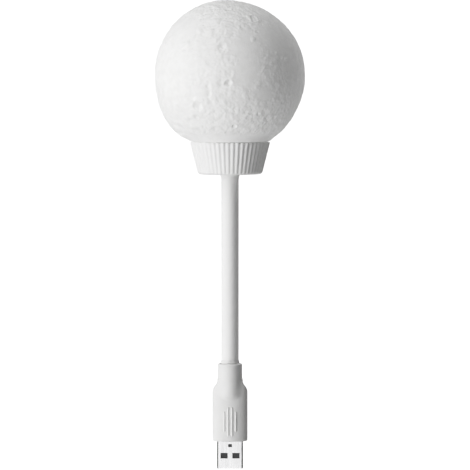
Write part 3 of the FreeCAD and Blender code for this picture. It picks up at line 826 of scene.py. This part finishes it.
@dataclass
class Gooseneck(SubAssembly):
    """Sleeve, coiled hose and cable of the neck, each as a run of pieces, one round each hinge."""

    first_hinge: float = 40.7
    last_hinge: float = 112.4
    hinge_count: int = 12
    coil_pitch: float = 1.7
    layers: tuple[NeckLayer, ...] = (
        NeckLayer("neck_jacket", "neck_sleeve", SLEEVE_SILICONE, 30.0, 121.2, 4.0, 3.2, 0.55, 64),
        NeckLayer("neck_hose", "neck_core", HOSE_STEEL, 22.0, 128.0, 3.02, 1.62, 0.22, 28, 0.28),
        NeckLayer("neck_flex", "neck_cable", CABLE_PVC, 17.0, 129.5, 1.4, 0.0, 0.8, 24),
    )

    def body(self, link: int) -> str:
        """Name the body that holds a link.

        Args:
            link: Number of the link, from 1.

        Returns:
            The body's name.
        """
        if link == 1:
            return "plug"
        return "head" if link > self.hinge_count else f"neck_link_{link:02d}"

    def _run(self, layer: NeckLayer, hinge: int) -> None:
        """Make a layer's piece round one hinge, and let it stand for the CAD links that meet there.

        Args:
            layer: The layer.
            hinge: Number of the hinge, from 1.
        """
        node = layer.node
        pitch = (self.last_hinge - self.first_hinge) / (self.hinge_count - 1)
        middle = self.first_hinge + (hinge - 1) * pitch
        below, above = (middle + side * pitch / 2 for side in (-1, 1))
        low = layer.foot if hinge == 1 else below
        high = layer.head_end if hinge == self.hinge_count else above
        heights = np.linspace(low, high, int(round((high - low) / layer.ring_step)) + 1)
        turns = heights[:, None] / self.coil_pitch - np.arange(layer.columns) / layer.columns
        groove = np.abs(np.sin(math.pi * turns)) ** 0.5
        radii = layer.radius - layer.coil_depth * (1 - groove)
        if layer.bore:
            radii = np.vstack([radii, np.full_like(radii, layer.bore)])
            heights = np.concatenate([heights, heights[::-1]])
        rings = turned_rings(radii, heights, layer.columns)
        piece = mesh_piece(f"{layer.piece}_{hinge:02d}", rings, closed=layer.bore > 0)
        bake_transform(piece)
        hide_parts(f"{node}_{hinge:02d}", f"{node}_{hinge + 1:02d}")
        self.keep(piece, layer.finish)

    def build(self) -> None:
        """Make the three layers, hinge by hinge."""
        for hinge in range(1, self.hinge_count + 1):
            for layer in self.layers:
                self._run(layer, hinge)


# ---- Plug and grip ----


@dataclass
class Grip(SubAssembly):
    """Moulded grip: an oval block whose shoulders draw in to a round neck."""

    half_width: float = 8.15
    half_thickness: float = 4.4
    shoulder_foot: float = 22.0
    shoulder_height: float = 6.6
    shoulder_thinning: float = 0.9
    neck_radius: float = 5.58
    runout_foot: float = 19.3
    runout_height: float = 2.7
    runout_depth: float = 1.3
    top: float = 35.5
    corner: float = 0.7
    front_corner: float = 0.5
    side_rounding: float = 0.5
    neck_rounding: float = 1.0
    seam_rise: float = 0.035
    seam_half_width: float = 0.14
    seam_foot: float = 1.2
    seam_beyond_shoulder: float = 4.0
    slot_half_width: float = 6.05
    slot_half_thickness: float = 2.3
    slot_top: float = 17.0
    bore_foot: float = 22.0
    cable_hole_radius: float = 1.6
    stem_radius: float = 4.03
    ridge_places: tuple[float, ...] = (-2.55, -0.85, 0.85, 2.55)
    ridge_half_lengths: tuple[float, ...] = (4.5, 6.58, 6.58, 4.5)
    ridge_width: float = 0.8
    ridge_rise: float = 0.3
    ridge_centre: float = 9.3
    foot_rings: tuple[float, ...] = (0.0, 0.04, 0.12, 0.26, 0.45, 0.7, 1.0)
    ring_step: float = 0.22
    # The neck's rounded rim, a dark groove, and the narrow cuff that hugs the sleeve's foot:
    # radius and height over the grip's top.
    cuff: Pairs = (
        (5.58, -0.5), (5.53, -0.28), (5.4, -0.1), (5.18, 0.0), (4.75, 0.03), (4.45, 0.0),
        (4.32, -0.12), (4.06, -0.14), (4.06, 0.36), (4.3, 0.4), (4.36, 0.55), (4.32, 0.8),
        (4.2, 1.1), (4.1, 1.4), (4.03, 1.75),
    )
    columns: int = 360

    def _half_width_at(self, heights: Array) -> Array:
        """Half the width of the front outline, with its two shoulder arcs.

        Args:
            heights: Heights in mm.

        Returns:
            Half widths in mm.
        """
        across = self.half_width - self.neck_radius
        radius = (across**2 + self.shoulder_height**2) / (4 * across)
        rise = np.clip(heights - self.shoulder_foot, 0.0, self.shoulder_height)
        low = self.half_width - (radius - np.sqrt(radius**2 - np.minimum(rise, radius) ** 2))
        rest = self.shoulder_height - rise
        high = self.neck_radius + (radius - np.sqrt(radius**2 - np.minimum(rest, radius) ** 2))
        return np.where(rise < self.shoulder_height / 2, low, high)

    def _ridges(self, x: Array, z: Array) -> Array:
        """Height of the thumb ridges on the front.

        Args:
            x: Places across the grip.
            z: Heights.

        Returns:
            Rise in mm over the oval.
        """
        rise = np.zeros(np.broadcast(x, z).shape)
        crest, end = 0.16, 0.4
        for place, half_length in zip(self.ridge_places, self.ridge_half_lengths):
            beyond = np.maximum(np.abs(z - self.ridge_centre) - half_length + end, 0.0)
            away = np.hypot(x - place, beyond)
            rise = np.maximum(rise, 1 - smooth_step(crest, self.ridge_width / 2 + 0.1, away))
        return self.ridge_rise * rise

    def _outside(self, heights: Array) -> Array:
        """Outer radius of the grip at each height and angle.

        Args:
            heights: Heights in mm, from the foot to the start of the neck's rounding.

        Returns:
            Radii in mm, by height and column.
        """
        angles = np.arange(self.columns) * 2 * math.pi / self.columns
        cos, sin = np.cos(angles)[None, :], np.sin(angles)[None, :]
        z = heights[:, None]
        end = self.shoulder_foot + self.shoulder_height
        thinning = self.shoulder_thinning * smooth_step(self.shoulder_foot, end, z)
        thickness = self.half_thickness - thinning
        oval = self.half_width * thickness / np.hypot(thickness * cos, self.half_width * sin)
        cut = self._half_width_at(z) / np.maximum(np.abs(cos), 0.02)
        block = soft_join(oval, cut, -self.side_rounding)
        edge = self.corner * cos**2 + self.front_corner * sin**2
        drop = np.clip(edge - z, 0.0, None)
        block = block - (edge - np.sqrt(np.maximum(edge**2 - drop**2, 0.0)))
        bulge = (self.runout_height**2 + self.runout_depth**2) / (2 * self.runout_depth)
        below = np.clip(self.runout_foot + self.runout_height - z, 0.0, self.runout_height)
        neck = self.neck_radius - (bulge - np.sqrt(bulge**2 - below**2))
        neck = neck - np.clip(self.runout_foot - z, 0.0, 3.0)
        joined = soft_join(block, neck * np.ones_like(block), self.neck_rounding)
        # The oval block ends inside the neck once the shoulders have drawn in.
        joined = np.where(z > end, neck, joined)
        front = (sin < 0) * np.minimum(1.0, np.abs(sin) * 1.2)
        ridges = self._ridges(joined * cos, z) * front
        # The tool's parting line stands a little proud on both sides.
        seam = self.seam_rise * np.exp(-((joined * sin / self.seam_half_width) ** 2))
        seam = seam * (z > self.seam_foot) * (z < end + self.seam_beyond_shoulder)
        return joined + ridges + seam

    def build(self) -> None:
        """Make the grip as one closed skin with the shell's slot and the neck's bore in it."""
        side = np.arange(1.3, self.top - 0.55, self.ring_step)
        heights = np.concatenate([self.foot_rings, side])
        angles = np.arange(self.columns) * 2 * math.pi / self.columns
        slot = np.minimum(
            self.slot_half_width / np.maximum(np.abs(np.cos(angles)), 1e-3),
            self.slot_half_thickness / np.maximum(np.abs(np.sin(angles)), 1e-3),
        )
        inner = [(radius, self.top + over) for radius, over in self.cuff]
        inner += [
            (self.stem_radius, self.bore_foot), (self.cable_hole_radius, self.bore_foot),
            (self.cable_hole_radius, self.slot_top),
        ]
        inner_r, inner_z = np.array(inner).T
        inner_rows = np.repeat(inner_r[:, None], self.columns, axis=1)
        radii = np.vstack([self._outside(heights), inner_rows, slot, slot])
        heights = np.concatenate([heights, inner_z, [self.slot_top, 0.0]])
        rings = turned_rings(radii, heights, self.columns)
        grip = mesh_piece("grip_body", rings, closed=True, sharp_degrees=55)
        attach(grip, "plug")
        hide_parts("plug_overmould")
        self.keep(grip, GRIP_PVC)


@dataclass(frozen=True)
class Opening:
    """Openings punched left and right of the plug's middle, or one on it; sizes are halved."""

    across: float
    height: float
    half_width: float
    half_height: float
    on_back: bool

    def holds(self, x: Array, y: Array, z: Array) -> Array:
        """Tell which spots on the front or back lie in the opening.

        Args:
            x: Places across the plug.
            y: Places through it, below 0 on the front.
            z: Heights.

        Returns:
            True where the sheet is punched out.
        """
        in_width = np.abs(np.abs(x) - self.across) < self.half_width
        in_height = np.abs(z - self.height) < self.half_height
        return in_width & in_height & (self.on_back | (y < 0))


@dataclass
class PlugShell(SubAssembly):
    """Folded steel shell: one sheet bent round, with its seam on the back."""

    half_width: float = 6.0
    half_thickness: float = 2.25
    corner: float = 0.72
    sheet: float = 0.3
    edge_rounding: float = 0.05
    tip: float = -12.5
    inner_end: float = 8.0
    window: Opening = Opening(2.71, -6.55, 1.625, 1.25, on_back=True)
    notch: Opening = Opening(0.0, -1.9, 0.85, 0.675, on_back=False)
    tip_draw_in: float = 0.1
    seam_half_width: float = 0.07
    seam_depth: float = 0.07

    @staticmethod
    def _clear_of(places: Array, edges: list[float]) -> list[float]:
        """Leave out the places that come too near an opening's edge.

        Args:
            places: Where rows or columns of the mesh could run.
            edges: Where the openings' edges run.

        Returns:
            The places that stay.
        """
        return [p for p in places.tolist() if min(abs(p - edge) for edge in edges) > 0.15]

    def _path(self) -> Array:
        """Run once round the shell's section, with the openings' edges among its points.

        Returns:
            Points in mm, across and through the plug.
        """
        centre_x, centre_y = self.half_width - self.corner, self.half_thickness - self.corner
        edges = [0.0, self.seam_half_width, self.notch.half_width, centre_x]
        edges += [self.window.across + side * self.window.half_width for side in (-1, 1)]
        edges += self._clear_of(np.linspace(0.35, centre_x - 0.3, 9), edges)
        stops = sorted({*edges, *(-edge for edge in edges)})
        bend = [
            (math.sin(turn) * self.corner, math.cos(turn) * self.corner)
            for turn in np.linspace(0, math.pi / 2, 8)[1:-1]
        ]
        rising = [(centre_x + a, centre_y + b) for a, b in bend]
        falling = [(centre_x + b, centre_y + a) for a, b in bend]
        side_y = np.linspace(-centre_y, centre_y, 7).tolist()
        path = [(x, -self.half_thickness) for x in stops]
        path += [(x, -y) for x, y in rising]
        path += [(self.half_width, y) for y in side_y]
        path += falling
        path += [(x, self.half_thickness) for x in reversed(stops)]
        path += [(-x, y) for x, y in rising]
        path += [(-self.half_width, y) for y in reversed(side_y)]
        path += [(-x, -y) for x, y in falling]
        return np.array(path)

    def build(self) -> None:
        """Bend the sheet, leave the openings out and give it its thickness."""
        path = self._path()
        levels = [self.tip, self.tip + 0.25, self.tip + 0.6, self.tip + 1.1, self.inner_end]
        for hole in (self.window, self.notch):
            levels += [hole.height - hole.half_height, hole.height + hole.half_height]
        levels += self._clear_of(np.arange(self.tip + 1.9, self.inner_end, 0.8), levels)
        levels = np.array(sorted(levels))
        size = np.array([self.half_width, self.half_thickness])
        in_seam = (path[:, 1] > 0) & (np.abs(path[:, 0]) < self.seam_half_width / 2)
        draw_in = self.tip_draw_in * (1 - smooth_step(self.tip, self.tip + 1.0, levels)) ** 2
        rings = path * (1 - draw_in[:, None, None] / size)
        rings[..., 1] -= self.seam_depth * in_seam
        heights = np.broadcast_to(levels[:, None, None], (*rings.shape[:2], 1))
        x, y = ((path + np.roll(path, -1, axis=0)) / 2).T
        z = (levels[:-1, None] + levels[1:, None]) / 2
        punched = self.window.holds(x, y, z) | self.notch.holds(x, y, z)
        punched &= np.abs(y) >= self.half_thickness - 0.01
        shell = mesh_piece(
            "shell_folded", np.concatenate([rings, heights], axis=-1), sharp_degrees=180,
            left_out=punched,
        )
        thickness = shell.modifiers.new("sheet", "SOLIDIFY")
        thickness.thickness = self.sheet * METRES
        thickness.offset = -1.0
        rounding = shell.modifiers.new("punched_edges", "BEVEL")
        rounding.width = self.edge_rounding * METRES
        rounding.segments = 2
        rounding.limit_method = "ANGLE"
        rounding.angle_limit = math.radians(60)
        rounding.harden_normals = True
        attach(shell, "plug")
        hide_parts("plug_shell")
        self.keep(shell, SHELL_NICKEL)


@dataclass
class InnerParts(SubAssembly):
    """CAD pieces that stay as they are and only get their real finishes."""

    finishes: Table = (
        (INSULATOR_NYLON, ("plug_tongue", "inner_mould")),
        (CONTACT_GOLD, ("power_contacts", "data_contacts")),
        (LEAD_RED, ("plug_supply_lead", "head_supply_lead")),
        (LEAD_BLACK, ("plug_return_lead", "head_return_lead")),
        (TURNED_ZINC, ("plug_ferrule", "neck_nut", "board_screws")),
        (BOARD_MASK, ("led_board",)),
        (CHIP_PHOSPHOR, ("led_chips",)),
        (RESISTOR_GLAZE, ("led_resistors",)),
    )

    def build(self) -> None:
        """Take the CAD pieces from the frame."""
        for finish, names in self.finishes:
            for name in names:
                self.keep(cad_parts[name], finish)


# ---- Studio ----


@dataclass
class Studio:
    """Pale floor that runs up into the backdrop, soft lights, the fill and the camera."""

    floor_height: float = -12.6
    room_radius: float = 4000.0
    room_height: float = 3200.0
    cove: float = 900.0
    paper_colour: str = "d0d0d0"
    paper_light: float = 1.8
    camera_distance: float = 1400.0
    camera_height: float = 178.0
    aim_height: float = 94.26
    field_height: float = 214.0
    sideways_shift: float = 0.01053
    # The soft lights hang at this distance from this place.
    light_distance: float = 1800.0
    light_aim: Direction = (0.0, 0.0, 0.105)
    # Lights on the left: name, azimuth from the front, rise, size in metres, and watts.
    left_lights: Table = (
        ("key_1", 57.0, 0.0, (1.0, 1.5), 24.9), ("key_2", 57.0, 48.0, (1.0, 1.5), 18.2),
        ("key_3", 57.0, -48.0, (1.0, 1.5), 13.2), ("edge_light", 92.0, 0.0, (0.6, 2.5), 4.0),
    )
    # Weak lights from behind and from below: name, direction, size in metres, and watts.
    right_lights: Table = (
        ("back_light", (0.5, 0.8, 0.33), (0.8, 1.2), 13.0),
        ("bounce_light", (0.354, -0.354, -0.866), (1.0, 1.0), 3.7),
    )
    # The cards show only in the metal, one for its front and one for its back.
    cards: Table = (
        ("metal_card_front", (-0.13, -1.2, -0.35)), ("metal_card_back", (0.2, 1.2, -0.35)),
    )
    card_aim: Direction = (0.0, 0.0, -0.006)
    card_size: tuple[float, float] = (0.42, 0.9)
    card_watts: float = 2.5
    # Light that arrives, and the share of white that the picture shows for it.
    response: Pairs = (
        (0.0, 0.0), (0.2, 0.2), (0.4, 0.4), (0.85, 0.715), (1.2, 0.86), (1.5, 0.965), (1.7, 1.0),
    )
    fill: float = 0.18

    def build(self) -> None:
        """Make the room, the lights, the world and the camera."""
        scene = bpy.context.scene
        scene.view_settings.view_transform = "Standard"
        self._film()
        self._room()
        self._lights()
        world = bpy.data.worlds.new("studio_fill")
        scene.world = world
        world.use_nodes = True
        tree = world.node_tree
        tree.nodes.clear()
        level = (self.fill, self.fill, self.fill, 1.0)
        sky = add_node(tree, "ShaderNodeBackground", {"Color": level})
        add_node(tree, "ShaderNodeOutputWorld", links={"Surface": sky.outputs["Background"]})
        camera_data = bpy.data.cameras.new("camera")
        camera = bpy.data.objects.new("camera", camera_data)
        scene.collection.objects.link(camera)
        place = Vector((0.0, -self.camera_distance, self.camera_height)) * METRES
        aim = Vector((0.0, 0.0, self.aim_height)) * METRES
        camera.location = place
        camera.rotation_euler = (aim - place).to_track_quat("-Z", "Y").to_euler()
        reach = (aim - place).length
        camera_data.lens = camera_data.sensor_width * reach / (self.field_height * METRES)
        camera_data.shift_x = self.sideways_shift
        scene.camera = camera

    def _film(self) -> None:
        """Let the brightest tones roll off softly, as a product photograph has them."""
        view = bpy.context.scene.view_settings
        view.use_curve_mapping = True
        white = self.response[-1][0]
        view.curve_mapping.white_level = (white, white, white)
        curve = view.curve_mapping.curves[3]
        for light, shown in self.response[1:-1]:
            curve.points.new(light / white, shown)
        view.curve_mapping.update()

    def _room(self) -> None:
        """Make one skin that is the floor in the middle and curves up to a round wall."""
        flat = self.room_radius - self.cove
        floor = flat * np.array([0.02, 0.1, 0.3, 0.6, 0.85, 1.0])
        turn = np.linspace(0.1, 1.0, 10) * math.pi / 2
        dome = np.linspace(0.05, 0.98, 14) * math.pi / 2
        radii = [floor, flat + self.cove * np.sin(turn), self.room_radius * np.cos(dome)]
        heights = [
            0 * floor, self.cove * (1 - np.cos(turn)), self.cove + self.room_height * np.sin(dome)
        ]
        heights = self.floor_height + np.concatenate(heights)
        room = mesh_piece("studio_room", turned_rings(np.concatenate(radii), heights, 96))
        room.data.flip_normals()
        paper = bpy.data.materials.new("paper_backdrop_matte")
        paper.use_nodes = True
        tree = paper.node_tree
        tree.nodes.clear()
        shader = add_node(
            tree, "ShaderNodeBsdfPrincipled",
            {
                "Base Color": srgb(self.paper_colour), "Roughness": 1.0, "Specular IOR Level": 0.0,
                "Emission Color": WHITE, "Emission Strength": self.paper_light,
            },
        )
        add_node(tree, "ShaderNodeOutputMaterial", links={"Surface": shader.outputs["BSDF"]})
        room.data.materials.append(paper)
        # The paper is lit for itself, so it neither lights the lamp nor shades it.
        room.visible_diffuse = False
        room.visible_glossy = False
        room.visible_transmission = False
        room.visible_shadow = False

    def _lights(self) -> None:
        """Hang the key and edge lights on the left, the weak ones, and the cards for the metal."""
        middle = Vector(self.light_aim)
        hung = []
        for name, azimuth, rise, *rest in self.left_lights:
            azimuth, rise = math.radians(azimuth), math.radians(rise)
            level = math.cos(rise)
            towards = (-math.sin(azimuth) * level, -math.cos(azimuth) * level, math.sin(rise))
            hung.append((name, towards, *rest))
        panels = [
            (name, middle + Vector(towards) * self.light_distance * METRES, middle, *rest)
            for name, towards, *rest in (*hung, *self.right_lights)
        ]
        panels += [
            (name, Vector(place), Vector(self.card_aim), self.card_size, self.card_watts)
            for name, place in self.cards
        ]
        for name, place, aim, size, watts in panels:
            data = bpy.data.lights.new(name, "AREA")
            data.shape = "RECTANGLE"
            data.size, data.size_y = size
            data.energy = watts
            panel = bpy.data.objects.new(name, data)
            bpy.context.scene.collection.objects.link(panel)
            panel.location = place
            panel.rotation_euler = (aim - place).to_track_quat("-Z", "Y").to_euler()
            panel.visible_camera = False
            is_card = name.startswith("metal_card")
            panel.visible_diffuse, panel.visible_glossy = not is_card, is_card


# ---- The whole lamp ----


def main() -> None:
    """Build the studio, then build and dress each sub-assembly."""
    logging.basicConfig(level=logging.INFO, format="%(name)s %(message)s")
    Studio().build()
    for group in (PlugShell(), Grip(), Gooseneck(), RibbedCollar(), MoonGlobe(), InnerParts()):
        group.build()
        group.dress()


if __name__ == "__main__":
    main()
